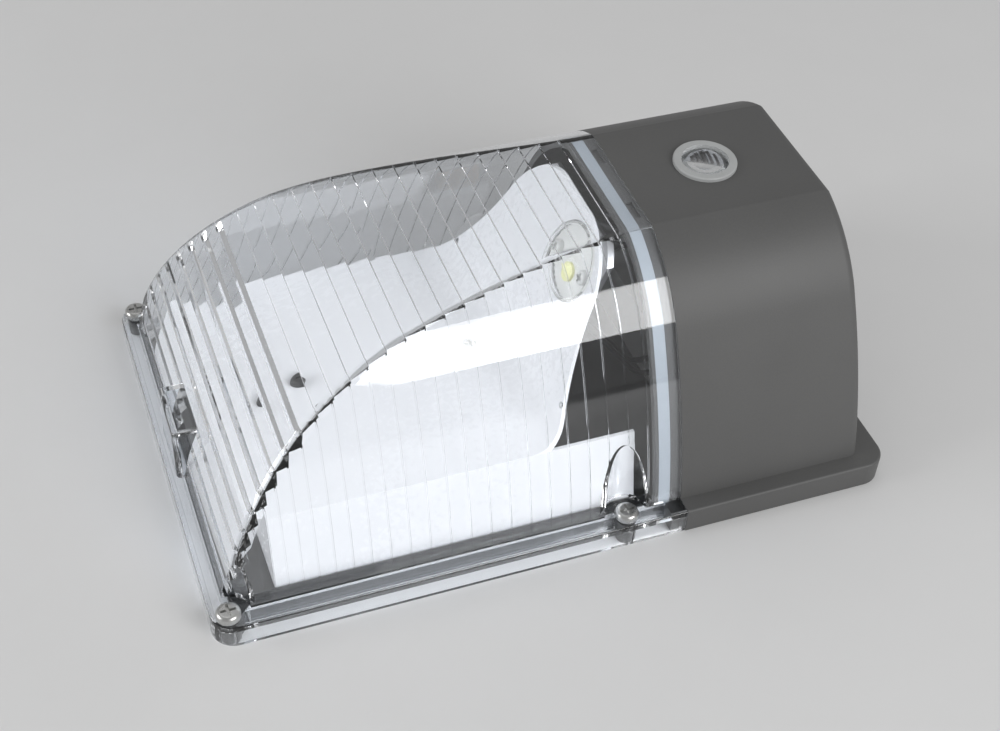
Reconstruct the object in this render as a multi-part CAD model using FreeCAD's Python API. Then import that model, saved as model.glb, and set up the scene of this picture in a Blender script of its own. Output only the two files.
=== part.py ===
import FreeCAD, Part
import math
import os
from FreeCAD import Placement, Rotation, Vector

# Wall pack light, modelled lying on its back as it is photographed.
# X runs along the length, from the lens end (-X) to the hood end (+X),
# Y runs across the width and Z points straight out of the wall.
# The origin is the middle of the mounting face on the back. All sizes are in mm.

# ---- outline of the fixture ------------------------------------------------
FLANGE_LENGTH = 238.0      # along the wall
FLANGE_WIDTH = 156.0       # across the wall
FLANGE_THICK = 9.5         # height of the base flange
FLANGE_CORNER = 8.0        # corner radius seen from the front
DEPTH = 92.0               # wall to front face
HOOD_FLANGE_LENGTH = 77.0  # part of the length that belongs to the hood

# ---- cross-section shared by the hood and the lens ---------------------------
SIDE_LEDGE = 6.2           # flange beyond the foot of the side walls
SHOULDER_IN = 19.2         # foot of the side wall in to where its two arcs meet
FRONT_IN = 46.8            # foot of the side wall in to the edge of the front face
SHOULDER_DROP = 26.0       # front face down to the point where the arcs meet
UPPER_BULGE = 3.8          # height of the upper side arc over its chord
LOWER_BULGE = 2.1          # height of the lower side arc over its chord

# ---- die-cast housing ------------------------------------------------------
HOOD_WALL = 3.0
FLOOR = 3.0                # floor plate behind everything
RIM_TOP = 6.0              # top of the rim that the lens seats on
RIM_WIDTH = 6.0
PLATE_GAP = 0.3            # edge of the floor plate to the inside of the lens flange
EAR_R = 3.3                # ears out to the lens screws
EAR_WIDTH = 5.0
EAR_LENGTH = 8.0
TAB_LENGTH = 5.0           # tabs from the hood under the ends of the lens flange
TAB_WIDTH = 6.0
TAB_EDGE = 2.6             # tab to the side of the flange
END_LEDGE = 9.0            # flange beyond the hood's end wall
END_DRAFT = 1.9            # degrees
HOOD_EDGE_R = 3.0          # rounding of the hood's end edges
FLANGE_EDGE_R = 0.8
LIP_DEPTH = 9.0            # hood lip that the lens collar covers
LIP_WALL = 2.5
LIP_GAP = 0.3              # lip to lens collar
LIP_ROOT = 4.0             # thick ring at the root of the lip
LIP_PAD_LENGTH = 8.0       # shallow pads in the front of the lip
LIP_PAD_WIDTH = 2.2
LIP_PAD_DEPTH = 1.0
LIP_PAD_OFFSET = 15.0
SHUT_GAP = 0.2             # lens end to hood end

# ---- lens ------------------------------------------------------------------
LENS_WALL = 2.2
LENS_CREASE_R = 4.0        # rounding where the arch meets the sides
NOSE_SETBACK = 4.0         # end of the flange to the foot of the nose
NOSE_BELOW = 2.2           # the nose's arc runs on this far below the wall
NOSE_TURN = 88.0           # degrees that the arch turns in all
FRONT_TURN = 12.5          # degrees of that in the flat arc next to the hood
PRISM_PITCH = 7.0          # prisms on the inside of the front, along the arch
PRISM_DEPTH = 0.55
PRISM_FACE = 0.3           # width of a prism's steep face
PRISM_FIRST = 12.0         # along the arch, from the hood to the first prism
NOSE_PRISM_ANGLE = 38.0    # tangent of the arch where the deeper prisms of the nose start
NOSE_PRISM_DEPTH = 2.0
NOSE_PRISM_FACE = 3.5
GROOVE_WIDTH = 0.5         # upright grooves that carry the prisms down the sides
GROOVE_DEPTH = 0.5
LENS_LEDGE = 3.2           # inward foot of the lens over its gasket
LENS_FOOT_END = 7.0        # solid part of the flange at the lens end
LENS_FOOT_SIDE = 8.7       # solid part of the flange at the sides
SKIRT_WALL = 2.0           # walls each side of the channel under the flange
SKIRT_LIFT = 0.3           # lower edge of the lens flange above the wall
LUG_HALF = 12.0            # moulded block in the middle of the lens end
LUG_TOP = 30.5
LUG_PROUD = 2.8            # end of the flange to the block's outer face
LUG_WALL = 2.2
LUG_EDGE_R = 1.8
POCKET_R = 7.5             # recess round each lens screw
POCKET_WALL = 2.0

# ---- lens screws (M4 pan head) ---------------------------------------------
LENS_SCREW_EDGE_X = 5.7    # screw axis to the end of the flange
LENS_SCREW_EDGE_Y = 5.3    # screw axis to the side of the flange
LENS_SCREW_NEAR_HOOD = 20.4  # screw axis to the lens and hood joint
M4_R = 2.0
M4_HEAD_R = 4.0
M4_HEAD = 2.8
M4_HOLE_GAP = 0.05
M4_PASS_GAP = 0.25
M4_TIP = 1.5               # tip of the shank above the wall
BOSS_HOLE_FLOOR = 1.0      # metal left under a blind hole

# ---- gaskets ---------------------------------------------------------------
GASKET_WIDTH = 2.0
GASKET_HEIGHT = 1.6
GASKET_INSET = 0.9         # edge of the floor plate to the gasket
GASKET_GAP = 0.1
GASKET_CORNER = 3.5
COLLAR_GASKET_WIDTH = 4.2
COLLAR_GASKET_BACK = 7.8   # joint to the far edge of the collar gasket
COLLAR_GASKET_DEPTH = 1.0

# ---- reflector -------------------------------------------------------------
SHEET = 1.2
REFLECTOR_LEFT = 23.0      # end of the flange to the end of the reflector
REFLECTOR_RIGHT = 12.5     # side walls stop this far from the joint
REFLECTOR_TOP = 30.0
REFLECTOR_FOOT_IN = 8.8    # foot of the lens wall to the foot of the reflector
REFLECTOR_SLOPE = 8.0      # foot to top edge, across
REFLECTOR_LIFT = 0.2       # walls stop just above the floor
RAMP_BACK = 40.0           # joint to where the ramp's plane meets the flat top
RAMP_ANGLE = 67.0          # degrees from the wall
RAMP_BLEND = 12.0          # radius from the flat top into the ramp
RAMP_DROP = 4.5            # front face down to the top of the ramp
RAMP_NECK_IN = 22.0        # edge of the flat top in to the neck of the ramp
RAMP_NECK_DROP = 17.5      # top of the ramp down to its neck
RAMP_FLARE_BULGE = 3.2
RAMP_CROWN_IN = 25.0       # neck of the ramp in to the end of its flat crown
RAMP_CROWN_BULGE = 5.5
RAMP_HOLE_R = 1.2          # small holes low in the ramp, near its edges
RAMP_HOLE_UP = 10.9
RAMP_HOLE_IN = 10.0        # edge of the flat top in to those holes
POST_R = 4.0
END_SCREW_BACK = 108.0     # joint to the reflector screw near the lens end
RAMP_SCREW_BACK = 51.4     # joint to the reflector screw at the ramp

# ---- small screws (M3 pan head) --------------------------------------------
M3_R = 1.5
M3_HEAD_R = 3.0
M3_HEAD = 2.0
M3_HOLE_GAP = 0.05
M3_PASS_GAP = 0.2
M3_REACH = 8.0             # shank below the seat of a reflector screw
RECESS_WIDTH = 0.9         # cross recess in every pan head
RECESS_DEPTH = 1.2
RECESS_SPAN = 0.62         # share of the head's radius

# ---- light engine, placed along the ramp -------------------------------------
BRACKET_THICK = 2.0
BRACKET_NEAR = -28.0       # side edges of the bracket, across
BRACKET_FAR = 24.0
BRACKET_SHORT = 1.5        # top of the ramp to the top of the bracket
BRACKET_FOOT_DEPTH = 20.0
LED_DOWN = 16.5            # top of the ramp to the centre of the light engine
LED_ACROSS = -13.5         # it sits to one side, as photographed
BOARD_R = 13.2
BOARD_THICK = 1.6
BOARD_GAP = 0.1            # board to the back of the reflector
EMITTER_R = 3.2
EMITTER_DROP = 4.0         # centre of the dome down to the emitter
EMITTER_THICK = 1.0
DOME_R = 13.2
DOME_WALL = 1.0
DOME_HEIGHT = 5.5          # above the face of the ramp
DOME_WINDOW_GAP = 0.3
LED_SCREW_OFFSET = 8.3
LED_HEAD_R = 2.5
LED_LEAD_SLOT_R = 3.2
LED_SCREW_REACH = 1.5      # tip of the screw behind the bracket

# ---- feet of the bracket and the driver ----------------------------------------
PAD_HEIGHT = 3.0
PAD_SIZE = 12.0
FOOT_THICK = 2.0
BRACKET_SCREW_OFFSET = 18.0

# ---- driver ----------------------------------------------------------------
DRIVER_BACK = 33.0         # joint to the middle of the driver
DRIVER_WIDTH = 36.0
DRIVER_LENGTH = 96.0
DRIVER_HEIGHT = 24.0
DRIVER_LID = 1.6
LID_PLUG = 2.0
DRIVER_CASE_WALL = 1.6
DRIVER_EAR = 9.0
DRIVER_LIFT = 0.1
DRIVER_PAD_GAP = 0.3
DRIVER_IN_FROM_END = (12.0, 4.5)    # end of the driver to its input leads
DRIVER_OUT_YS = (-17.0, -10.0)
DRIVER_LEAD_Z = 15.0
DRIVER_LEAD_RUN = 8.0      # straight run out of the case
POTTING_HEIGHT = 8.5
PARTS_PROUD = 7.0
COIL_HALF = 9.0
CAPACITOR_R = 5.0
EAR_RECESS = 8.0           # resin stops short of the ears' screws

# ---- photocell -------------------------------------------------------------
PHOTOCELL_BACK = 30.5      # joint to the axis of the photocell
BEZEL_R = 10.9
BEZEL_THICK = 1.4
CELL_BODY_R = 9.4
CELL_BODY_DROP = 28.0      # front face down to the end of the body
CELL_WALL = 1.2
CELL_HOLE_GAP = 0.15
CELL_DOME_R = 8.0
CELL_DOME_SEAT = 2.0       # window seat below the front face
CELL_DOME_RISE = 3.2
CELL_SENSOR_R = 5.5
CELL_SENSOR_DROP = 1.2
CELL_SENSOR_THICK = 2.0
CELL_NUT_R = 14.0
CELL_NUT_THICK = 4.0
CELL_GASKET_THICK = 0.8
CELL_LEAD_SPACING = 4.5

# ---- wall mounting ---------------------------------------------------------
WIRE_ENTRY_BACK = 83.0     # joint to the middle of the wire entry
WALL_SCREW_SPACING_X = 92.0
WALL_SCREW_SPACING_Y = 80.0
WALL_SCREW_HOLE_R = 2.75
WIRE_ENTRY_R = 11.0
GROMMET_LIP = 2.0
GROMMET_LIP_THICK = 1.5
GROMMET_BORE_R = 5.0
GROMMET_GAP = 0.05

# ---- wiring ----------------------------------------------------------------
LEAD_R = 1.1
CONNECTOR_R = 4.2
CONNECTOR_TIP_R = 2.6
CONNECTOR_LENGTH = 16.0
CONNECTOR_Z = 8.0
NEUTRAL_CONNECTOR = (65.0, -8.0)    # joint to its open end, end of the driver to it
SUPPLY_CONNECTOR = (65.0, -17.0)
SWITCHED_CONNECTOR = (9.0, 2.0)
LEAD_PAIR = 1.6            # half the spacing of two leads in one connector
LEAD_GRIP = 2.0            # length of the leads inside a connector
LEAD_STRAIGHT = 8.0        # straight run into a connector
LEAD_CLEAR = 13.0          # height of the leads over the driver
LEAD_DROP_X = (13.0, 6.0)  # joint to where the leads turn down, and to their foot
LED_LEAD_RUN = (12.0, 8.0)  # behind the bracket: first bend and straight run
GROUND_SCREW_FROM_END = 60.0
GROUND_SCREW_Y = -30.0

# ---- values worked out from the sizes above ------------------------------------
HALF_LENGTH = FLANGE_LENGTH / 2
HALF_WIDTH = FLANGE_WIDTH / 2
JOINT_X = HALF_LENGTH - HOOD_FLANGE_LENGTH
LENS_END_X = JOINT_X - SHUT_GAP
LIP_X = JOINT_X - LIP_DEPTH
FOOT_HALF = HALF_WIDTH - SIDE_LEDGE
SHOULDER_HALF = FOOT_HALF - SHOULDER_IN
FRONT_HALF = FOOT_HALF - FRONT_IN
FLANGE_IN_X = -HALF_LENGTH + LENS_FOOT_END
FLANGE_IN_HALF = HALF_WIDTH - LENS_FOOT_SIDE
PLATE_LEFT = FLANGE_IN_X + PLATE_GAP
PLATE_HALF = FLANGE_IN_HALF - PLATE_GAP
LENS_SCREW_Y = HALF_WIDTH - LENS_SCREW_EDGE_Y
LENS_SCREW_X0 = -HALF_LENGTH + LENS_SCREW_EDGE_X
LENS_SCREW_X1 = JOINT_X - LENS_SCREW_NEAR_HOOD
REFLECTOR_X0 = -HALF_LENGTH + REFLECTOR_LEFT
REFLECTOR_X1 = JOINT_X - REFLECTOR_RIGHT
REFLECTOR_FOOT_HALF = FOOT_HALF - REFLECTOR_FOOT_IN
REFLECTOR_TOP_HALF = REFLECTOR_FOOT_HALF - REFLECTOR_SLOPE
RAMP_FOOT = JOINT_X - RAMP_BACK
RAMP_TOP = DEPTH - RAMP_DROP
RAMP_NECK_Z = RAMP_TOP - RAMP_NECK_DROP
RAMP_NECK_HALF = REFLECTOR_TOP_HALF - RAMP_NECK_IN
RAMP_CROWN_HALF = RAMP_NECK_HALF - RAMP_CROWN_IN
RAMP_LENGTH = (RAMP_TOP - REFLECTOR_TOP) / math.sin(math.radians(RAMP_ANGLE))
LED_UP = RAMP_LENGTH - LED_DOWN
BRACKET_TOP = RAMP_LENGTH - BRACKET_SHORT
REFLECTOR_SCREW = (JOINT_X - END_SCREW_BACK, 0.0)
RAMP_SCREW = (JOINT_X - RAMP_SCREW_BACK, 0.0)
DRIVER_X = JOINT_X + DRIVER_BACK
DRIVER_IN_YS = tuple(DRIVER_LENGTH / 2 - back for back in DRIVER_IN_FROM_END)
PHOTOCELL_X = JOINT_X + PHOTOCELL_BACK
WIRE_ENTRY_X = JOINT_X - WIRE_ENTRY_BACK
GROUND_SCREW_X = -HALF_LENGTH + GROUND_SCREW_FROM_END
BEYOND = 20.0              # how far a cutting body runs past what it cuts
X = Vector(1, 0, 0)
Y = Vector(0, 1, 0)
Z = Vector(0, 0, 1)


# ---- helpers ---------------------------------------------------------------
def box(x0, x1, y0, y1, z0, z1):
    return Part.makeBox(x1 - x0, y1 - y0, z1 - z0, Vector(x0, y0, z0))


def cylinder(radius, z0, z1, x=0.0, y=0.0):
    return Part.makeCylinder(radius, z1 - z0, Vector(x, y, z0))


def arc_edge(start, end, bulge, outward):
    """Arc from start to end that stands out by bulge towards outward."""
    chord = end - start
    side = chord.cross(outward).cross(chord)
    side.normalize()
    middle = (start + end) * 0.5 + side * bulge
    return Part.Arc(start, middle, end).toShape()


def line_edge(start, end):
    return Part.LineSegment(start, end).toShape()


def polygon_face(points):
    return Part.Face(Part.makePolygon(points + [points[0]]))


def rounded_plate(x0, x1, half_width, z0, z1, radius, corners):
    """Plate with its vertical edges rounded at the named ends, -1 or +1."""
    plate = box(x0, x1, -half_width, half_width, z0, z1)
    ends = {-1: x0, 1: x1}
    edges = []
    for edge in plate.Edges:
        upright = abs(edge.BoundBox.ZLength - (z1 - z0)) < 0.001
        chosen = any(abs(edge.BoundBox.Center.x - ends[c]) < 0.001 for c in corners)
        if upright and chosen:
            edges.append(edge)
    return plate.makeFillet(radius, edges)


def fuse(shapes):
    joined = shapes[0]
    for shape in shapes[1:]:
        joined = joined.fuse(shape)
    return joined.removeSplitter()


def export(shape, name, solids=1):
    if not shape.isValid():
        raise RuntimeError(name + " is not valid")
    if len(shape.Solids) != solids:
        raise RuntimeError(name + " has %d solids" % len(shape.Solids))
    shape.exportStep("parts/" + name + ".step")


def section_wire(x):
    """Outline of the hood and lens across the length, with its foot run down."""
    out = Vector(0, 1, 0.4)
    half = []
    half.append((Vector(x, FRONT_HALF, DEPTH),
                 Vector(x, SHOULDER_HALF, DEPTH - SHOULDER_DROP), UPPER_BULGE))
    half.append((Vector(x, SHOULDER_HALF, DEPTH - SHOULDER_DROP),
                 Vector(x, FOOT_HALF, FLANGE_THICK), LOWER_BULGE))
    foot = Vector(x, FOOT_HALF, -BEYOND)
    right = [arc_edge(a, b, bulge, out) for a, b, bulge in half]
    right.append(line_edge(half[1][1], foot))
    left = [edge.mirror(Vector(x, 0, 0), Y) for edge in right]
    front = line_edge(Vector(x, -FRONT_HALF, DEPTH), Vector(x, FRONT_HALF, DEPTH))
    base = line_edge(foot, Vector(x, -FOOT_HALF, -BEYOND))
    edges = Part.__sortEdges__([front] + right + [base] + left)
    return Part.Wire(edges)


def section_body(inset, x0, x1, z0):
    """The section set in by inset, run from x0 to x1 and cut off below z0."""
    wire = section_wire(x0)
    if inset > 0:
        wire = wire.makeOffset2D(-inset, 2)
    body = Part.Face(wire).extrude(Vector(x1 - x0, 0, 0))
    return body.common(box(x0, x1, -HALF_WIDTH, HALF_WIDTH, z0, DEPTH + BEYOND))


def slant(shape):
    """Carry a shape from the ramp's own axes (up, across, out) to its place."""
    turn = Rotation(Y, -RAMP_ANGLE)
    shape.Placement = Placement(Vector(RAMP_FOOT, 0, REFLECTOR_TOP), turn)
    return shape


def pan_head(radius, height, z, x=0.0, y=0.0):
    """Domed head with a cross recess, seated at z."""
    head = cylinder(radius, z, z + height, x, y)
    top = [e for e in head.Edges if abs(e.BoundBox.ZMin - z - height) < 0.001
           and e.BoundBox.ZLength < 0.001]
    head = head.makeFillet(height * 0.55, top)
    arm = radius * RECESS_SPAN
    half = RECESS_WIDTH / 2
    low = z + height - RECESS_DEPTH
    high = z + height + 1.0
    slot_x = box(x - arm, x + arm, y - half, y + half, low, high)
    slot_y = box(x - half, x + half, y - arm, y + arm, low, high)
    return head.cut(slot_x.fuse(slot_y))


def screw(radius, head_radius, head_height, seat, tip, x=0.0, y=0.0):
    shank = cylinder(radius, tip, seat, x, y)
    return fuse([pan_head(head_radius, head_height, seat, x, y), shank])


def lead(points, radius=LEAD_R):
    """Round lead along straight runs joined by tangent arcs."""
    edges = []
    here = points[0]
    for i in range(1, len(points) - 1):
        into = points[i] - points[i - 1]
        away = points[i + 1] - points[i]
        turn = into.getAngle(away)
        back = 0.45 * min(into.Length, away.Length)
        bend = back / math.tan(turn / 2)
        into.normalize()
        away.normalize()
        start = points[i] - into * back
        end = points[i] + away * back
        inward = away - into
        inward.normalize()
        centre = points[i] + inward * (bend / math.cos(turn / 2))
        middle = centre - inward * bend
        edges.append(line_edge(here, start))
        edges.append(Part.Arc(start, middle, end).toShape())
        here = end
        print("lead bend radius %.1f" % bend)
    edges.append(line_edge(here, points[-1]))
    path = Part.Wire(edges)
    first = points[1] - points[0]
    ring = Part.Wire(Part.makeCircle(radius, points[0], first))
    tube = path.makePipeShell([ring], True, False)
    expected = math.pi * radius ** 2 * path.Length
    print("lead length %.1f, volume ratio %.4f" % (path.Length, tube.Volume / expected))
    return tube


# ---- housing ---------------------------------------------------------------
def hood_block(inset, x0, z0):
    """Solid of the hood, or of its inside, with the drafted end wall."""
    foot = HALF_LENGTH - END_LEDGE - inset
    rise = DEPTH + BEYOND
    lean = math.tan(math.radians(END_DRAFT)) * (rise - FLANGE_THICK)
    drop = math.tan(math.radians(END_DRAFT)) * (FLANGE_THICK + BEYOND)
    outline = [Vector(x0, -HALF_WIDTH, -BEYOND),
               Vector(foot + drop, -HALF_WIDTH, -BEYOND),
               Vector(foot - lean, -HALF_WIDTH, rise),
               Vector(x0, -HALF_WIDTH, rise)]
    wedge = polygon_face(outline).extrude(Vector(0, FLANGE_WIDTH, 0))
    return section_body(inset, x0, HALF_LENGTH, z0).common(wedge)


def hood_shell():
    outer = hood_block(0, JOINT_X, FLOOR)
    near_end = HALF_LENGTH - END_LEDGE - BEYOND
    edges = []
    for edge in outer.Edges:
        box_of = edge.BoundBox
        at_end = box_of.XMin > near_end
        above = box_of.ZMax > FLANGE_THICK + 1 and box_of.ZMin > FLOOR - 0.001
        flat_foot = box_of.ZLength < 0.001 and box_of.ZMin < FLANGE_THICK
        if at_end and above and not flat_foot:
            edges.append(edge)
    outer = outer.makeFillet(HOOD_EDGE_R, edges)
    inner = hood_block(HOOD_WALL, JOINT_X - 1, FLOOR)
    return outer.cut(inner)


def hood_lip():
    """Root ring at the mouth of the hood and the lip that the lens collar covers."""
    lip_in = LENS_WALL + LIP_GAP
    ring = section_body(0, JOINT_X, JOINT_X + LIP_ROOT, FLOOR)
    lip = section_body(lip_in, LIP_X, JOINT_X + LIP_ROOT, FLOOR)
    hollow = section_body(lip_in + LIP_WALL, LIP_X - 1, JOINT_X + LIP_ROOT + 1, FLOOR)
    lip = lip.fuse(ring).cut(hollow)
    front = DEPTH - lip_in
    for side in (-1, 1):
        y = side * LIP_PAD_OFFSET
        x0 = JOINT_X - COLLAR_GASKET_BACK + COLLAR_GASKET_WIDTH + LIP_PAD_DEPTH / 2
        pad = box(x0, x0 + LIP_PAD_WIDTH, y - LIP_PAD_LENGTH / 2, y + LIP_PAD_LENGTH / 2,
                  front - LIP_PAD_DEPTH, front + 1)
        lip = lip.cut(pad)
    return lip.cut(collar_gasket_band(0))


def base_plate():
    """Floor plate with its rim under the lens and the full flange under the hood."""
    plate = box(PLATE_LEFT, JOINT_X + 1, -PLATE_HALF, PLATE_HALF, 0, RIM_TOP)
    well = box(PLATE_LEFT + RIM_WIDTH, JOINT_X + 2, -PLATE_HALF + RIM_WIDTH,
               PLATE_HALF - RIM_WIDTH, FLOOR, RIM_TOP + 1)
    plate = plate.cut(well)
    ears = lens_screw_ears(0, 0, RIM_TOP)
    flange = rounded_plate(JOINT_X, HALF_LENGTH, HALF_WIDTH, 0, FLANGE_THICK,
                           FLANGE_CORNER, (1,))
    top = [e for e in flange.Edges if e.BoundBox.ZMin > FLANGE_THICK - 0.001
           and e.BoundBox.XMax > JOINT_X + 1]
    flange = flange.makeFillet(FLANGE_EDGE_R, top)
    hollow = hood_block(HOOD_WALL, JOINT_X - 1, FLOOR)
    return plate.multiFuse(ears + hood_tabs(0, 0) + [flange.cut(hollow)])


def lens_screw_ears(gap, z0, z1):
    """Ear from the floor plate to each lens screw, or the room for it."""
    ears = []
    for x, y in lens_screw_places():
        inward = -1 if y > 0 else 1
        angle = 90 * inward if x > 0 else 45 * inward
        arm = Part.makeBox(EAR_LENGTH, EAR_WIDTH + 2 * gap, z1 - z0,
                           Vector(0, -EAR_WIDTH / 2 - gap, z0))
        arm.Placement = Placement(Vector(x, y, 0), Rotation(Z, angle))
        ears.append(arm.fuse(cylinder(EAR_R + gap, z0, z1, x, y)))
    return ears


def hood_tabs(gap, z0):
    """Tab under each end of the lens flange at the hood, or the room for it."""
    tabs = []
    for side in (-1, 1):
        edge = side * (HALF_WIDTH - TAB_EDGE + gap)
        inner = side * (HALF_WIDTH - TAB_EDGE - TAB_WIDTH - gap)
        y0, y1 = sorted((edge, inner))
        tabs.append(box(JOINT_X - TAB_LENGTH - gap, JOINT_X + 1, y0, y1, z0, RIM_TOP))
    return tabs


def lens_screw_places():
    return [(x, side * LENS_SCREW_Y)
            for x in (LENS_SCREW_X0, LENS_SCREW_X1) for side in (-1, 1)]


def foot_pads():
    """Cast pads under the bracket's foot and the driver's ears."""
    places = [(bracket_screw_x(), side * BRACKET_SCREW_OFFSET) for side in (-1, 1)]
    places += [(DRIVER_X, side * driver_screw_y()) for side in (-1, 1)]
    half = PAD_SIZE / 2
    top = FLOOR + PAD_HEIGHT
    return [(x, y, box(x - half, x + half, y - half, y + half, FLOOR / 2, top))
            for x, y in places]


def reflector_screw_places():
    return [REFLECTOR_SCREW, RAMP_SCREW]


def wall_screw_places():
    half_x = WALL_SCREW_SPACING_X / 2
    half_y = WALL_SCREW_SPACING_Y / 2
    return [(WIRE_ENTRY_X + sx * half_x, sy * half_y)
            for sx in (-1, 1) for sy in (-1, 1)]


def gasket_ring(width, inset, z0, z1):
    """Open gasket round three sides of the floor plate, ending at the lip."""
    end = LIP_X - 0.4
    outer = rounded_plate(PLATE_LEFT + inset, end, PLATE_HALF - inset, z0, z1,
                          GASKET_CORNER, (-1,))
    inner = rounded_plate(PLATE_LEFT + inset + width, end + 1,
                          PLATE_HALF - inset - width, z0 - 1, z1 + 1,
                          GASKET_CORNER - width, (-1,))
    return outer.cut(inner)


def collar_gasket_band(gap):
    """Band round the lip, from rim to rim."""
    lip_in = LENS_WALL + LIP_GAP
    x0 = JOINT_X - COLLAR_GASKET_BACK + gap
    x1 = x0 + COLLAR_GASKET_WIDTH - 2 * gap
    outer = section_body(lip_in, x0, x1, RIM_TOP + gap)
    inner = section_body(lip_in + COLLAR_GASKET_DEPTH, x0 - 1, x1 + 1, FLOOR)
    return outer.cut(inner)


def make_housing():
    body = fuse([base_plate(), hood_shell(), hood_lip()])
    posts = []
    for x, y in reflector_screw_places():
        posts.append(cylinder(POST_R, FLOOR / 2, REFLECTOR_TOP - SHEET, x, y))
    pads = foot_pads()
    body = fuse([body] + posts + [pad for x, y, pad in pads])
    for x, y in reflector_screw_places():
        low = REFLECTOR_TOP - M3_REACH - 1.0
        body = body.cut(cylinder(M3_R + M3_HOLE_GAP, low, REFLECTOR_TOP, x, y))
    for x, y, pad in pads:
        body = body.cut(cylinder(M3_R + M3_HOLE_GAP, BOSS_HOLE_FLOOR, DEPTH / 2, x, y))
    for x, y in lens_screw_places():
        body = body.cut(cylinder(M4_R + M4_HOLE_GAP, BOSS_HOLE_FLOOR, RIM_TOP + 1, x, y))
    for x, y in wall_screw_places():
        body = body.cut(cylinder(WALL_SCREW_HOLE_R, -1, FLOOR + 1, x, y))
    body = body.cut(cylinder(WIRE_ENTRY_R, -1, FLOOR + 1, WIRE_ENTRY_X, 0))
    ground = cylinder(M4_R + M4_HOLE_GAP, BOSS_HOLE_FLOOR / 2, FLOOR + 1,
                      GROUND_SCREW_X, GROUND_SCREW_Y)
    body = body.cut(ground)
    cell = cylinder(CELL_BODY_R + CELL_HOLE_GAP, DEPTH - HOOD_WALL - 1, DEPTH + 1,
                    PHOTOCELL_X, 0)
    body = body.cut(cell)
    groove = gasket_ring(GASKET_WIDTH + 2 * GASKET_GAP, GASKET_INSET - GASKET_GAP,
                         RIM_TOP - GASKET_HEIGHT, RIM_TOP + 1)
    return body.cut(groove).removeSplitter()


# ---- lens ------------------------------------------------------------------
def arch_radii():
    """Radii of the flat arc and the nose, from the room they have to fill."""
    run = LENS_END_X + SHUT_GAP + HALF_LENGTH - NOSE_SETBACK
    drop = DEPTH + NOSE_BELOW
    sin_a = math.sin(math.radians(FRONT_TURN))
    cos_a = math.cos(math.radians(FRONT_TURN))
    sin_b = math.sin(math.radians(NOSE_TURN)) - sin_a
    cos_b = cos_a - math.cos(math.radians(NOSE_TURN))
    share = sin_a * cos_b - sin_b * (1 - cos_a)
    flat = (run * cos_b - drop * sin_b) / share
    nose = (sin_a * drop - (1 - cos_a) * run) / share
    return flat, nose


def arch_point(angle, inset):
    """Point of the arch where its tangent has fallen by angle degrees."""
    flat, nose = arch_radii()
    sweep = math.radians(min(angle, FRONT_TURN))
    x = JOINT_X - (flat - inset) * math.sin(sweep)
    z = DEPTH - flat + (flat - inset) * math.cos(sweep)
    if angle > FRONT_TURN:
        more = math.radians(angle)
        x -= (nose - inset) * (math.sin(more) - math.sin(sweep))
        z -= (nose - inset) * (math.cos(sweep) - math.cos(more))
    return Vector(x, 0, z)


def arch_angle(distance):
    """Tangent angle of the arch at a distance along it from the joint."""
    flat, nose = arch_radii()
    first = math.radians(FRONT_TURN) * flat
    if distance <= first:
        return math.degrees(distance / flat)
    return FRONT_TURN + math.degrees((distance - first) / nose)


def arch_body(x1):
    """Everything under the arch, across the whole width."""
    start = arch_point(0, 0)
    mid_front = arch_point(FRONT_TURN / 2, 0)
    blend = arch_point(FRONT_TURN, 0)
    mid_nose = arch_point((FRONT_TURN + NOSE_TURN) / 2, 0)
    end = arch_point(NOSE_TURN, 0)
    low = Vector(end.x, 0, -BEYOND)
    edges = [Part.Arc(start, mid_front, blend).toShape(),
             Part.Arc(blend, mid_nose, end).toShape(),
             line_edge(end, low),
             line_edge(low, Vector(start.x, 0, -BEYOND)),
             line_edge(Vector(start.x, 0, -BEYOND), start)]
    face = Part.Face(Part.Wire(edges))
    face.translate(Vector(0, -HALF_WIDTH, 0))
    body = face.extrude(Vector(0, FLANGE_WIDTH, 0))
    return body.common(box(-HALF_LENGTH, x1, -HALF_WIDTH, HALF_WIDTH, -BEYOND, DEPTH + 1))


def prism_places():
    """Distances along the arch at which the prisms start."""
    places = []
    distance = PRISM_FIRST
    while arch_angle(distance) < NOSE_TURN:
        places.append(distance)
        distance += PRISM_PITCH
    return places


def prism_size(angle):
    """Width of the steep face and depth: fine over the front, bold over the nose."""
    if angle < NOSE_PRISM_ANGLE:
        return PRISM_FACE, PRISM_DEPTH
    return NOSE_PRISM_FACE, NOSE_PRISM_DEPTH


def prism_body():
    """Inside of the arch, stepped into prisms that run across the width."""
    points = [Vector(LENS_END_X + 1, 0, DEPTH - LENS_WALL)]
    for distance in prism_places():
        angle = arch_angle(distance)
        width, depth = prism_size(angle)
        points.append(arch_point(angle, LENS_WALL))
        points.append(arch_point(arch_angle(distance + width), LENS_WALL + depth))
    last = arch_point(NOSE_TURN, LENS_WALL)
    points.append(last)
    points.append(Vector(last.x, 0, -BEYOND))
    points.append(Vector(LENS_END_X + 1, 0, -BEYOND))
    face = polygon_face(points)
    face.translate(Vector(0, -HALF_WIDTH, 0))
    return face.extrude(Vector(0, FLANGE_WIDTH, 0))


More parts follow.
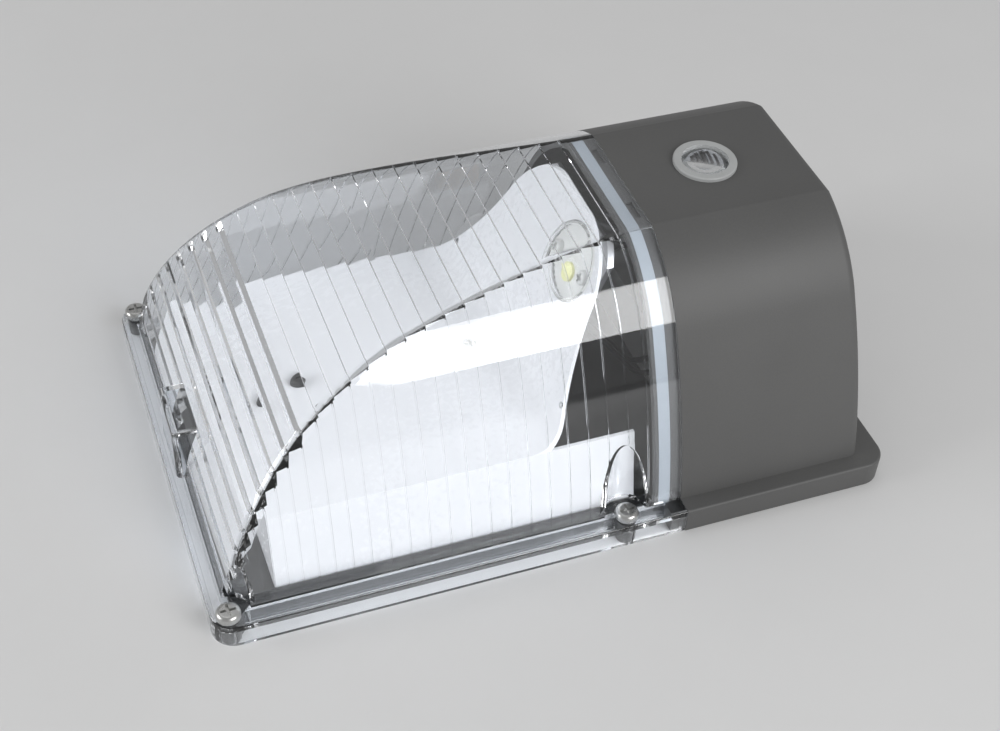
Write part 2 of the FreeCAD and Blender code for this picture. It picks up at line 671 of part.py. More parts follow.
def lens_flange():
    """Flange with a channel underneath, open for the floor plate, ears and tabs."""
    plate = rounded_plate(-HALF_LENGTH, LENS_END_X, HALF_WIDTH, SKIRT_LIFT, FLANGE_THICK,
                          FLANGE_CORNER, (-1,))
    top = [e for e in plate.Edges if e.BoundBox.ZMin > FLANGE_THICK - 0.001
           and e.BoundBox.XMin < LENS_END_X - 1]
    plate = plate.makeFillet(FLANGE_EDGE_R, top)
    inside = box(FLANGE_IN_X, LENS_END_X + 1, -FLANGE_IN_HALF, FLANGE_IN_HALF, -1, RIM_TOP)
    channel = rounded_plate(-HALF_LENGTH + SKIRT_WALL, LENS_END_X - SKIRT_WALL,
                            HALF_WIDTH - SKIRT_WALL, -1, RIM_TOP,
                            FLANGE_CORNER - SKIRT_WALL, (-1,))
    island = box(FLANGE_IN_X - SKIRT_WALL, LENS_END_X, -FLANGE_IN_HALF - SKIRT_WALL,
                 FLANGE_IN_HALF + SKIRT_WALL, -1, RIM_TOP)
    plate = plate.cut(channel.cut(island)).cut(inside)
    for room in lens_screw_ears(PLATE_GAP, -1, RIM_TOP) + hood_tabs(PLATE_GAP, -1):
        plate = plate.cut(room)
    return plate


def lens_mouth():
    """Opening through the lens flange: a ledge over the gasket, none at the lip."""
    mouth = rounded_plate(FLANGE_IN_X + LENS_LEDGE, LENS_END_X + 1,
                          FLANGE_IN_HALF - LENS_LEDGE, RIM_TOP - 1, FLANGE_THICK + 1,
                          GASKET_WIDTH, (-1,))
    collar = section_body(LENS_WALL, LIP_X - 0.5, LENS_END_X + 1, RIM_TOP - 1)
    return mouth.fuse(collar)


def lens_creases(body):
    """Edges where the arch, turned about Y, meets the sides, turned about X."""
    creases = []
    for edge in body.Edges:
        round_faces = [face for face in body.ancestorsOfType(edge, Part.Face)
                       if face.Surface.TypeId == "Part::GeomCylinder"]
        along = [face for face in round_faces if abs(face.Surface.Axis.x) > 0.5]
        across = [face for face in round_faces if abs(face.Surface.Axis.y) > 0.5]
        if along and across:
            creases.append(edge)
    return creases


def make_lens():
    outer = section_body(0, -HALF_LENGTH, LENS_END_X, RIM_TOP).common(arch_body(LENS_END_X))
    outer = outer.makeFillet(LENS_CREASE_R, lens_creases(outer))
    lug_x = -HALF_LENGTH + LUG_PROUD
    lug = box(lug_x, 0, -LUG_HALF, LUG_HALF, RIM_TOP, LUG_TOP)
    lug = lug.makeFillet(LUG_EDGE_R, [e for e in lug.Edges if e.BoundBox.XMin < lug_x + 0.001
                                      and e.BoundBox.ZMax > LUG_TOP - 0.001])
    outer = outer.fuse(lug)
    inner = section_body(LENS_WALL, -HALF_LENGTH, LENS_END_X + 1, FLANGE_THICK)
    grooves = []
    for distance in prism_places():
        x = arch_point(arch_angle(distance), 0).x
        grooves.append(section_body(LENS_WALL - GROOVE_DEPTH, x, x + GROOVE_WIDTH,
                                    FLANGE_THICK))
    inner = inner.multiFuse(grooves).common(prism_body())
    lug_room = box(lug_x + LUG_WALL, 0, -LUG_HALF + LUG_WALL, LUG_HALF - LUG_WALL,
                   FLANGE_THICK, LUG_TOP - LUG_WALL)
    sleeves = []
    pockets = []
    for x, y in lens_screw_places():
        sleeves.append(cylinder(POCKET_R + POCKET_WALL, FLANGE_THICK - 1, DEPTH / 2, x, y))
        pockets.append(cylinder(POCKET_R, FLANGE_THICK, DEPTH, x, y))
    body = outer
    inner = inner.fuse(lug_room)
    for sleeve in sleeves:
        inner = inner.cut(sleeve)
    body = body.cut(inner).fuse(lens_flange())
    body = body.cut(lens_mouth())
    for pocket in pockets:
        body = body.cut(pocket)
    for x, y in lens_screw_places():
        body = body.cut(cylinder(M4_R + M4_PASS_GAP, 0, FLANGE_THICK + 1, x, y))
    return body.removeSplitter()


def make_lens_screws():
    return Part.makeCompound([screw(M4_R, M4_HEAD_R, M4_HEAD, FLANGE_THICK, M4_TIP, x, y)
                              for x, y in lens_screw_places()])


def make_lens_gasket():
    return gasket_ring(GASKET_WIDTH, GASKET_INSET, RIM_TOP - GASKET_HEIGHT, RIM_TOP)


# ---- reflector -------------------------------------------------------------
def trough(x0, x1, inset):
    """Body under the flat top of the reflector, with sloping sides."""
    foot = REFLECTOR_FOOT_HALF - inset
    top = REFLECTOR_TOP_HALF - inset
    low = FLOOR + REFLECTOR_LIFT
    if inset > 0:
        slope = (REFLECTOR_FOOT_HALF - REFLECTOR_TOP_HALF) / (REFLECTOR_TOP - low)
        foot += slope * inset
        top += slope * inset
        low -= inset
    high = REFLECTOR_TOP - inset
    points = [Vector(x0, -foot, low), Vector(x0, foot, low),
              Vector(x0, top, high), Vector(x0, -top, high)]
    return polygon_face(points).extrude(Vector(x1 - x0, 0, 0))


def ramp_outline():
    """Bell outline of the ramp seen along the length."""
    out = Vector(0, 1, 0.2)
    base = Vector(0, REFLECTOR_TOP_HALF, REFLECTOR_TOP)
    neck = Vector(0, RAMP_NECK_HALF, RAMP_NECK_Z)
    crown = Vector(0, RAMP_CROWN_HALF, RAMP_TOP)
    low = Vector(0, REFLECTOR_TOP_HALF, REFLECTOR_TOP - 2 * SHEET)
    right = [line_edge(low, base), arc_edge(base, neck, RAMP_FLARE_BULGE, out * -1),
             arc_edge(neck, crown, RAMP_CROWN_BULGE, out)]
    left = [edge.mirror(Vector(0, 0, 0), Y) for edge in right]
    top = line_edge(Vector(0, -RAMP_CROWN_HALF, RAMP_TOP), crown)
    bottom = line_edge(Vector(0, -REFLECTOR_TOP_HALF, low.z), low)
    edges = Part.__sortEdges__(right + left + [top, bottom])
    face = Part.Face(Part.Wire(edges))
    face.translate(Vector(REFLECTOR_X0 / 2, 0, 0))
    return face.extrude(Vector(HALF_LENGTH, 0, 0))


def ramp_sheet():
    """Flat top, blend and ramp as one bent sheet across the width."""
    angle = math.radians(RAMP_ANGLE)
    up = Vector(math.cos(angle), 0, math.sin(angle))
    out = Vector(-math.sin(angle), 0, math.cos(angle))
    foot = Vector(RAMP_FOOT, 0, REFLECTOR_TOP)
    reach = RAMP_BLEND * math.tan(angle / 2)
    start = foot - X * reach
    end = foot + up * reach
    centre = start + Z * RAMP_BLEND
    toward = foot - centre
    toward.normalize()
    tip = foot + up * ((RAMP_TOP - REFLECTOR_TOP) / math.sin(angle) + 1)
    left = Vector(REFLECTOR_X0, 0, REFLECTOR_TOP)
    thick = RAMP_BLEND + SHEET
    edges = [line_edge(left, start),
             Part.Arc(start, centre + toward * RAMP_BLEND, end).toShape(),
             line_edge(end, tip),
             line_edge(tip, tip - out * SHEET),
             line_edge(tip - out * SHEET, end - out * SHEET),
             Part.Arc(end - out * SHEET, centre + toward * thick, start - Z * SHEET).toShape(),
             line_edge(start - Z * SHEET, left - Z * SHEET),
             line_edge(left - Z * SHEET, left)]
    face = Part.Face(Part.Wire(edges))
    face.translate(Vector(0, -REFLECTOR_TOP_HALF, 0))
    return face.extrude(Vector(0, 2 * REFLECTOR_TOP_HALF, 0))


def make_reflector():
    skin = trough(REFLECTOR_X0, REFLECTOR_X1, 0)
    hollow = trough(REFLECTOR_X0 + SHEET, REFLECTOR_X1 + 1, SHEET)
    angle = math.radians(RAMP_ANGLE)
    flat_end = RAMP_FOOT - RAMP_BLEND * math.tan(angle / 2)
    open_top = box(flat_end, REFLECTOR_X1 + 1, -REFLECTOR_TOP_HALF + SHEET,
                   REFLECTOR_TOP_HALF - SHEET, REFLECTOR_TOP / 2, REFLECTOR_TOP + 1)
    walls = skin.cut(hollow).cut(open_top)
    ramp = ramp_sheet().common(ramp_outline())
    keep = box(flat_end - 2, HALF_LENGTH, -HALF_WIDTH, HALF_WIDTH, 0, DEPTH)
    body = fuse([walls, ramp.common(keep)])
    for x, y in reflector_screw_places():
        body = body.cut(cylinder(M3_R + M3_PASS_GAP, 0, REFLECTOR_TOP + 1, x, y))
    window = Part.makeCylinder(DOME_R + DOME_WINDOW_GAP, 4 * SHEET,
                               Vector(LED_UP, LED_ACROSS, -2 * SHEET))
    body = body.cut(slant(window))
    for side in (-1, 1):
        y = side * (REFLECTOR_TOP_HALF - RAMP_HOLE_IN)
        hole = Part.makeCylinder(RAMP_HOLE_R, 4 * SHEET, Vector(RAMP_HOLE_UP, y, -2 * SHEET))
        body = body.cut(slant(hole))
    return body.removeSplitter()


def make_reflector_screw(place):
    tip = REFLECTOR_TOP - M3_REACH
    return screw(M3_R, M3_HEAD_R, M3_HEAD, REFLECTOR_TOP, tip, place[0], place[1])


# ---- light engine ------------------------------------------------------------
def bracket_low():
    """Distance down the ramp's plane to the top of the bracket's foot."""
    return (FLOOR + PAD_HEIGHT - REFLECTOR_TOP) / math.sin(math.radians(RAMP_ANGLE))


def bracket_screw_x():
    angle = math.radians(RAMP_ANGLE)
    return RAMP_FOOT + bracket_low() * math.cos(angle) + BRACKET_FOOT_DEPTH * 0.6


def bracket_face():
    return board_face() - BOARD_THICK


def make_led_bracket():
    """Folded aluminium plate behind the ramp, trimmed to the ramp's outline."""
    low = bracket_low()
    width = BRACKET_FAR - BRACKET_NEAR
    plate = slant(Part.makeBox(BRACKET_TOP - low + BEYOND, width, BRACKET_THICK,
                               Vector(low - BEYOND, BRACKET_NEAR,
                                      bracket_face() - BRACKET_THICK)))
    seat = FLOOR + PAD_HEIGHT
    below = box(-HALF_LENGTH, HALF_LENGTH, BRACKET_NEAR, BRACKET_FAR, seat, REFLECTOR_TOP)
    plate = plate.common(below.fuse(ramp_outline()))
    slope = 1 / math.tan(math.radians(RAMP_ANGLE))
    back = (BRACKET_THICK / 2 - bracket_face()) / math.sin(math.radians(RAMP_ANGLE))
    x0 = RAMP_FOOT - (REFLECTOR_TOP - seat) * slope + back
    foot = box(x0, x0 + BRACKET_FOOT_DEPTH, BRACKET_NEAR, BRACKET_FAR,
               seat, seat + FOOT_THICK)
    body = fuse([plate, foot])
    for y in led_screw_across():
        hole = Part.makeCylinder(M3_R + M3_HOLE_GAP, BEYOND, Vector(LED_UP, y, -BEYOND))
        body = body.cut(slant(hole))
    for side in (-1, 1):
        y = side * BRACKET_SCREW_OFFSET
        body = body.cut(cylinder(M3_R + M3_PASS_GAP, 0, DEPTH / 4, bracket_screw_x(), y))
    slot = Part.makeCylinder(LED_LEAD_SLOT_R, BEYOND,
                             Vector(led_slot_up(), LED_ACROSS, -BEYOND))
    return body.cut(slant(slot)).removeSplitter()


def led_slot_up():
    """Centre of the hole for the LED leads, near the lower edge of the board."""
    return LED_UP - BOARD_R + LED_LEAD_SLOT_R


def make_bracket_screws():
    seat = FLOOR + PAD_HEIGHT + FOOT_THICK
    return Part.makeCompound([screw(M3_R, M3_HEAD_R, M3_HEAD, seat, BOSS_HOLE_FLOOR + 0.5,
                                    bracket_screw_x(), side * BRACKET_SCREW_OFFSET)
                              for side in (-1, 1)])


def local_disc(radius, low, high):
    return Part.makeCylinder(radius, high - low, Vector(LED_UP, LED_ACROSS, low))


def led_screw_across():
    return [LED_ACROSS + side * LED_SCREW_OFFSET for side in (-1, 1)]


def board_face():
    """Height of the front of the LED board over the face of the ramp."""
    return -SHEET - BOARD_GAP


def make_led_board():
    board = local_disc(BOARD_R, board_face() - BOARD_THICK, board_face())
    for y in led_screw_across():
        board = board.cut(Part.makeCylinder(M3_R + M3_HOLE_GAP, 4 * SHEET,
                                            Vector(LED_UP, y, -4 * SHEET)))
    return slant(board)


def make_led_emitter():
    low = board_face()
    place = Vector(LED_UP - EMITTER_DROP, LED_ACROSS, low)
    return slant(Part.makeCylinder(EMITTER_R, EMITTER_THICK, place))


def make_led_dome():
    """Hollow clear dome seated on the LED board, standing out of the ramp."""
    ball_r = (DOME_R ** 2 + DOME_HEIGHT ** 2) / (2 * DOME_HEIGHT)
    centre = Vector(LED_UP, LED_ACROSS, DOME_HEIGHT - ball_r)
    outer = Part.makeSphere(ball_r, centre)
    outer = outer.common(local_disc(DOME_R, board_face(), DOME_HEIGHT + 1))
    side = local_disc(DOME_R, board_face(), 0.0)
    inner = Part.makeSphere(ball_r - DOME_WALL, centre)
    inner = inner.common(local_disc(DOME_R - DOME_WALL, board_face() - 1, DOME_HEIGHT))
    room = local_disc(DOME_R - DOME_WALL, board_face() - 1, 0.0)
    return slant(outer.fuse(side).cut(inner).cut(room).removeSplitter())


def make_led_screws():
    tip = bracket_face() - BRACKET_THICK - LED_SCREW_REACH
    pair = [screw(M3_R, LED_HEAD_R, M3_HEAD, board_face(), tip, LED_UP, y)
            for y in led_screw_across()]
    return slant(Part.makeCompound(pair))


# ---- driver ----------------------------------------------------------------
def driver_screw_y():
    return DRIVER_LENGTH / 2 + DRIVER_EAR / 2


def make_driver_case():
    half_x = DRIVER_WIDTH / 2
    half_y = DRIVER_LENGTH / 2
    low = FLOOR + DRIVER_LIFT
    top = FLOOR + DRIVER_HEIGHT - DRIVER_LID
    wall = DRIVER_CASE_WALL
    case = box(DRIVER_X - half_x, DRIVER_X + half_x, -half_y, half_y, low, top)
    room = box(DRIVER_X - half_x + wall, DRIVER_X + half_x - wall,
               -half_y + wall, half_y - wall, low + wall, top + 1)
    seat = FLOOR + PAD_HEIGHT
    half_pad = PAD_SIZE / 2
    case = case.cut(room)
    for side in (-1, 1):
        y0, y1 = sorted((side * half_y, side * (half_y + DRIVER_EAR)))
        ear = box(DRIVER_X - half_pad, DRIVER_X + half_pad, y0, y1, seat, seat + FOOT_THICK)
        case = case.fuse(ear)
        half_room = half_pad + DRIVER_PAD_GAP
        pad_room = box(DRIVER_X - half_room, DRIVER_X + half_room,
                       side * driver_screw_y() - half_room,
                       side * driver_screw_y() + half_room, 0, seat)
        case = case.cut(pad_room)
        case = case.cut(cylinder(M3_R + M3_PASS_GAP, 0, DEPTH / 4, DRIVER_X,
                                 side * driver_screw_y()))
    for y in DRIVER_IN_YS + DRIVER_OUT_YS:
        hole = Part.makeCylinder(LEAD_R + 0.3, 4 * wall,
                                 Vector(DRIVER_X - half_x - 2 * wall, y, DRIVER_LEAD_Z), X)
        case = case.cut(hole)
    return case.removeSplitter()


def make_driver_lid():
    half_x = DRIVER_WIDTH / 2
    half_y = DRIVER_LENGTH / 2
    top = FLOOR + DRIVER_HEIGHT
    inset = DRIVER_CASE_WALL + 0.1
    lid = box(DRIVER_X - half_x, DRIVER_X + half_x, -half_y, half_y, top - DRIVER_LID, top)
    plug = box(DRIVER_X - half_x + inset, DRIVER_X + half_x - inset, -half_y + inset,
               half_y - inset, top - DRIVER_LID - LID_PLUG, top - DRIVER_LID / 2)
    return fuse([lid, plug])


def make_driver_circuit():
    """Circuit potted in resin that fills the case, its tallest parts standing proud."""
    half_x = DRIVER_WIDTH / 2 - DRIVER_CASE_WALL
    half_y = DRIVER_LENGTH / 2 - DRIVER_CASE_WALL
    low = FLOOR + DRIVER_LIFT + DRIVER_CASE_WALL
    top = low + POTTING_HEIGHT
    resin = box(DRIVER_X - half_x, DRIVER_X + half_x, -half_y, half_y, low, top)
    for side in (-1, 1):
        y0, y1 = sorted((side * (half_y - EAR_RECESS), side * (half_y + 1)))
        resin = resin.cut(box(DRIVER_X - PAD_SIZE, DRIVER_X + PAD_SIZE, y0, y1, 0, DEPTH))
    coil = box(DRIVER_X - COIL_HALF, DRIVER_X + COIL_HALF, -COIL_HALF, COIL_HALF,
               low, top + PARTS_PROUD)
    capacitor = cylinder(CAPACITOR_R, low, top + PARTS_PROUD, DRIVER_X, 2.5 * COIL_HALF)
    return fuse([resin, coil, capacitor])


def make_driver_screws():
    seat = FLOOR + PAD_HEIGHT + FOOT_THICK
    return Part.makeCompound([screw(M3_R, M3_HEAD_R, M3_HEAD, seat, BOSS_HOLE_FLOOR + 0.5,
                                    DRIVER_X, side * driver_screw_y()) for side in (-1, 1)])


# ---- photocell ---------------------------------------------------------------
def make_photocell_bezel():
    ring = cylinder(BEZEL_R, DEPTH, DEPTH + BEZEL_THICK, PHOTOCELL_X, 0)
    top = [e for e in ring.Edges if e.BoundBox.ZMin > DEPTH + BEZEL_THICK - 0.001]
    ring = ring.makeFillet(0.6, top)
    barrel = cylinder(CELL_BODY_R, DEPTH - CELL_BODY_DROP, DEPTH + 0.1, PHOTOCELL_X, 0)
    body = fuse([ring, barrel])
    window = cylinder(CELL_DOME_R + 0.1, DEPTH - CELL_DOME_SEAT, DEPTH + BEZEL_THICK + 1,
                      PHOTOCELL_X, 0)
    body = body.cut(window)
    room = cylinder(CELL_BODY_R - 2 * CELL_WALL, DEPTH - CELL_BODY_DROP + CELL_WALL,
                    DEPTH, PHOTOCELL_X, 0)
    body = body.cut(room)
    for place in photocell_lead_places():
        body = body.cut(cylinder(LEAD_R + 0.2, DEPTH - CELL_BODY_DROP - 1,
                                 DEPTH - CELL_BODY_DROP + CELL_WALL + 1, place.x, place.y))
    return body


def make_photocell_lens():
    """Clear domed window over the sensor."""
    seat = DEPTH - CELL_DOME_SEAT
    rise = CELL_DOME_RISE + CELL_DOME_SEAT
    disc = cylinder(CELL_DOME_R, seat, seat + rise, PHOTOCELL_X, 0)
    ball_r = (CELL_DOME_R ** 2 + CELL_DOME_RISE ** 2) / (2 * CELL_DOME_RISE)
    ball = Part.makeSphere(ball_r, Vector(PHOTOCELL_X, 0, seat + rise - ball_r))
    dome = disc.common(ball)
    hollow = cylinder(CELL_DOME_R - CELL_WALL, seat - 1, seat + CELL_WALL, PHOTOCELL_X, 0)
    return dome.cut(hollow)


def make_photocell_sensor():
    """Round light sensor on its carrier, just under the window."""
    top = DEPTH - CELL_SENSOR_DROP
    sensor = cylinder(CELL_SENSOR_R, top - CELL_SENSOR_THICK, top, PHOTOCELL_X, 0)
    low = DEPTH - CELL_BODY_DROP + CELL_WALL
    carrier = cylinder(CELL_SENSOR_R - 1.5, low, top - CELL_SENSOR_THICK / 2, PHOTOCELL_X, 0)
    flats = box(PHOTOCELL_X - 1.6, PHOTOCELL_X + 1.6, -CELL_SENSOR_R, CELL_SENSOR_R,
                top - 0.5, top + 1)
    return fuse([sensor, carrier]).cut(flats)


def make_photocell_gasket():
    top = DEPTH - HOOD_WALL
    ring = cylinder(CELL_NUT_R, top - CELL_GASKET_THICK, top, PHOTOCELL_X, 0)
    bore = cylinder(CELL_BODY_R + 0.1, top - CELL_GASKET_THICK - 1, top + 1, PHOTOCELL_X, 0)
    return ring.cut(bore)


def make_photocell_nut():
    top = DEPTH - HOOD_WALL - CELL_GASKET_THICK
    points = []
    for i in range(6):
        angle = math.radians(60 * i)
        points.append(Vector(PHOTOCELL_X + CELL_NUT_R * math.cos(angle),
                             CELL_NUT_R * math.sin(angle), top - CELL_NUT_THICK))
    nut = polygon_face(points).extrude(Vector(0, 0, CELL_NUT_THICK))
    return nut.cut(cylinder(CELL_BODY_R + 0.1, top - CELL_NUT_THICK - 1, top + 1,
                            PHOTOCELL_X, 0))


def photocell_lead_places():
    low = DEPTH - CELL_BODY_DROP
    return [Vector(PHOTOCELL_X, i * CELL_LEAD_SPACING, low) for i in (-1, 0, 1)]


# ---- wiring ----------------------------------------------------------------
def lead_end(connector, side):
    """End of a lead inside a connector, to one side of its axis."""
    x, y = connector_place(connector)
    return Vector(x - LEAD_GRIP, y + side * LEAD_PAIR, CONNECTOR_Z)


def make_photocell_leads():
    """Three leads from the photocell, over the driver, down to the connectors."""
    tubes = []
    over = FLOOR + DRIVER_HEIGHT + LEAD_CLEAR
    ends = (lead_end(SUPPLY_CONNECTOR, 1), lead_end(NEUTRAL_CONNECTOR, 1),
            lead_end(SWITCHED_CONNECTOR, 1))
    for start, end in zip(photocell_lead_places(), ends):
        across = end.y - LEAD_PAIR
        points = [start + Z * (CELL_WALL - CELL_HOLE_GAP / 2),
                  Vector(start.x, start.y, over + LEAD_STRAIGHT),
                  Vector(JOINT_X + LEAD_DROP_X[0], across, over),
                  Vector(JOINT_X + LEAD_DROP_X[1], across, CONNECTOR_Z + LEAD_PAIR),
                  Vector(end.x + LEAD_STRAIGHT, end.y, CONNECTOR_Z),
                  end]
        tubes.append(lead(points))
    return Part.makeCompound(tubes)


def make_driver_input_leads():
    """Two leads from the driver to the connectors."""
    tubes = []
    face = DRIVER_X - DRIVER_WIDTH / 2
    ends = (lead_end(NEUTRAL_CONNECTOR, -1), lead_end(SWITCHED_CONNECTOR, -1))
    for y, end in zip(DRIVER_IN_YS, ends):
        points = [Vector(face + DRIVER_CASE_WALL, y, DRIVER_LEAD_Z),
                  Vector(face - DRIVER_LEAD_RUN, y, DRIVER_LEAD_Z),
                  Vector(end.x + LEAD_STRAIGHT, end.y, CONNECTOR_Z),
                  end]
        tubes.append(lead(points))
    return Part.makeCompound(tubes)


def make_driver_output_leads():
    """Two leads from the driver up the back of the bracket to the LED board."""
    tubes = []
    face = DRIVER_X - DRIVER_WIDTH / 2
    angle = math.radians(RAMP_ANGLE)
    up = Vector(math.cos(angle), 0, math.sin(angle))
    out = Vector(-math.sin(angle), 0, math.cos(angle))
    hole = Vector(RAMP_FOOT, LED_ACROSS, REFLECTOR_TOP) + up * led_slot_up()
    hole = hole + out * bracket_face()
    for y, side in zip(DRIVER_OUT_YS, (-1, 1)):
        end = hole + Y * (side * LEAD_PAIR)
        bend, straight = LED_LEAD_RUN
        points = [Vector(face + DRIVER_CASE_WALL, y, DRIVER_LEAD_Z),
                  Vector(face - DRIVER_LEAD_RUN, y, DRIVER_LEAD_Z),
                  end - out * bend - up * bend,
                  end - out * straight,
                  end]
        tubes.append(lead(points))
    return Part.makeCompound(tubes)


def connector_place(connector):
    back, from_end = connector
    return JOINT_X - back, DRIVER_LENGTH / 2 + from_end


def connector_places():
    return [connector_place(connector)
            for connector in (NEUTRAL_CONNECTOR, SUPPLY_CONNECTOR, SWITCHED_CONNECTOR)]


def make_wire_connectors():
    """Twist-on connectors over the joined ends of the leads."""
    caps = []
    for x, y in connector_places():
        cone = Part.makeCone(CONNECTOR_R, CONNECTOR_TIP_R, CONNECTOR_LENGTH,
                             Vector(x, y, CONNECTOR_Z), X * -1)
        bore = Part.makeCylinder(CONNECTOR_R - 1.0, 6.0, Vector(x + 1, y, CONNECTOR_Z), X * -1)
        caps.append(cone.cut(bore))
    return Part.makeCompound(caps)


def make_wire_entry_grommet():
    sleeve = cylinder(WIRE_ENTRY_R - GROMMET_GAP, 0, FLOOR + 0.5, WIRE_ENTRY_X, 0)
    lip = cylinder(WIRE_ENTRY_R + GROMMET_LIP, FLOOR, FLOOR + GROMMET_LIP_THICK,
                   WIRE_ENTRY_X, 0)
    bore = cylinder(GROMMET_BORE_R, -1, FLOOR + GROMMET_LIP_THICK + 1, WIRE_ENTRY_X, 0)
    return fuse([sleeve, lip]).cut(bore)


def make_ground_screw():
    return screw(M4_R, M4_HEAD_R, M4_HEAD, FLOOR, BOSS_HOLE_FLOOR, GROUND_SCREW_X,
                 GROUND_SCREW_Y)


def make_collar_gasket():
    return collar_gasket_band(0.05)


def main():
    os.makedirs("parts", exist_ok=True)
    export(make_housing(), "housing")
    export(make_lens(), "lens")
    export(make_lens_screws(), "lens_screws", len(lens_screw_places()))
    export(make_lens_gasket(), "lens_gasket")
    export(make_collar_gasket(), "collar_gasket")
    export(make_reflector(), "reflector")
    export(make_reflector_screw(REFLECTOR_SCREW), "reflector_screw")
    export(make_reflector_screw(RAMP_SCREW), "ramp_screw")
    export(make_led_bracket(), "led_bracket")
    export(make_bracket_screws(), "bracket_screws", 2)
    export(make_led_board(), "led_board")
    export(make_led_emitter(), "led_emitter")
    export(make_led_dome(), "led_dome")
    export(make_led_screws(), "led_screws", 2)
    export(make_driver_case(), "driver_case")
    export(make_driver_lid(), "driver_lid")
    export(make_driver_circuit(), "driver_circuit")
    export(make_driver_screws(), "driver_screws", 2)
    export(make_photocell_bezel(), "photocell_body")
    export(make_photocell_lens(), "photocell_lens")
    export(make_photocell_sensor(), "photocell_sensor")
    export(make_photocell_gasket(), "photocell_gasket")
    export(make_photocell_nut(), "photocell_nut")
    export(make_photocell_leads(), "photocell_leads", 3)
    export(make_driver_input_leads(), "driver_input_leads", 2)
    export(make_driver_output_leads(), "driver_output_leads", 2)
    export(make_wire_connectors(), "wire_connectors", len(connector_places()))
    export(make_wire_entry_grommet(), "wire_entry_grommet")
    export(make_ground_screw(), "ground_screw")


main()
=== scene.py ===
import math

import bmesh
import bpy
from bpy.props import (FloatProperty, FloatVectorProperty, IntProperty,
                       PointerProperty)
from mathutils import Matrix, Vector


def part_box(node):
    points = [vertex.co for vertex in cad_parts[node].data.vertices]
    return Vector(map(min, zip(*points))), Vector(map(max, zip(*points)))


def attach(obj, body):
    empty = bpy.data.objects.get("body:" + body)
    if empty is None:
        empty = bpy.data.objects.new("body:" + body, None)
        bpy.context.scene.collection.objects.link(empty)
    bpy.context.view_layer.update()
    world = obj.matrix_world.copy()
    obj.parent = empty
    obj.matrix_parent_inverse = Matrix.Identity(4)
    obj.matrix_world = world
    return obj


bl_info = {
    "name": "Wall pack light",
    "version": (1, 0, 0),
    "blender": (4, 5, 0),
    "location": "View3D > Sidebar > Wall pack",
    "description": "Dresses the packed wall pack light with its finishes, small parts and studio",
    "category": "Object",
}

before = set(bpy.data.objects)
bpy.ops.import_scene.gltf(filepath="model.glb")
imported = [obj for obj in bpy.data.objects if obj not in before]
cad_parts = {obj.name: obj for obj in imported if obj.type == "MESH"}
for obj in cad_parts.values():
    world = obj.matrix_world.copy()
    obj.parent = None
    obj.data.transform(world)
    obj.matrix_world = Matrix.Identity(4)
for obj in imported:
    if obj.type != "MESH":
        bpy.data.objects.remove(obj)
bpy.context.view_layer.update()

FIXTURE = "fixture"

# Indices of refraction. The dome's is lower than silicone's own, so its ring stays faint.
POLYCARBONATE_IOR = 1.58
ACRYLIC_IOR = 1.49
DOME_IOR = 1.25

# Roughness of a clear moulding, and what smudges and dust add to it.
CLEAR_ROUGHNESS = 0.01
SMUDGE_ROUGHNESS = 0.05
# Half the spread of an opaque finish's roughness, and the least it may come to.
ROUGHNESS_SPREAD = 0.06
LEAST_ROUGHNESS = 0.02

# The sensor's track, as shares of the face's half width and of the track's height.
TRACK_REACH = 0.82
TRACK_BEVEL = 0.3

# Name, place and width of each lamp in metres, and the setting that holds its power.
LAMPS = (("Key", (0.6, -1.2, 0.85), 0.9, "key_power"),
         ("End", (-1.4, 0.2, 0.5), 0.7, "end_power"),
         ("Top", (-0.2, 0.5, 1.6), 0.9, "top_power"))
LAMP_TARGET = (0, 0, 0.04)
FLOOR_REACH = 6.0
FLOOR_DROP = 0.0002        # under the back of the light, so the two faces don't flicker
SENSOR_WIDTH = 36.0        # of the camera, in millimetres


# ---- sizes and colours a user would change -----------------------------------
class FinishSettings(bpy.types.PropertyGroup):
    coat_colour: FloatVectorProperty(
        name="Powder coat", description="Colour of the die-cast housing",
        subtype="COLOR", size=3, min=0, max=1, default=(0.096, 0.096, 0.095))
    coat_grain: FloatProperty(
        name="Coat grain", description="Size of the powder coat's texture",
        subtype="DISTANCE", unit="LENGTH", default=0.0005, min=0.0001, max=0.01)
    enamel_colour: FloatVectorProperty(
        name="Reflector enamel", description="Colour of the reflector",
        subtype="COLOR", size=3, min=0, max=1, default=(0.86, 0.86, 0.87))
    lens_tint: FloatVectorProperty(
        name="Lens tint", description="Colour of the clear moulded lens",
        subtype="COLOR", size=3, min=0, max=1, default=(0.95, 0.965, 0.985))
    bezel_colour: FloatVectorProperty(
        name="Photocell body", description="Colour of the ring round the photocell",
        subtype="COLOR", size=3, min=0, max=1, default=(0.42, 0.43, 0.43))


class PhotocellSettings(bpy.types.PropertyGroup):
    track_width: FloatProperty(
        name="Track width", description="Width of the sensor's dark track",
        subtype="DISTANCE", unit="LENGTH", default=0.0008, min=0.0001, max=0.003)
    track_runs: IntProperty(
        name="Track runs", description="Runs of the sensor's track across its face",
        default=6, min=2, max=16)
    track_height: FloatProperty(
        name="Track height", description="Height of the track over the sensor's face",
        subtype="DISTANCE", unit="LENGTH", default=0.00012, min=0.00001, max=0.001)


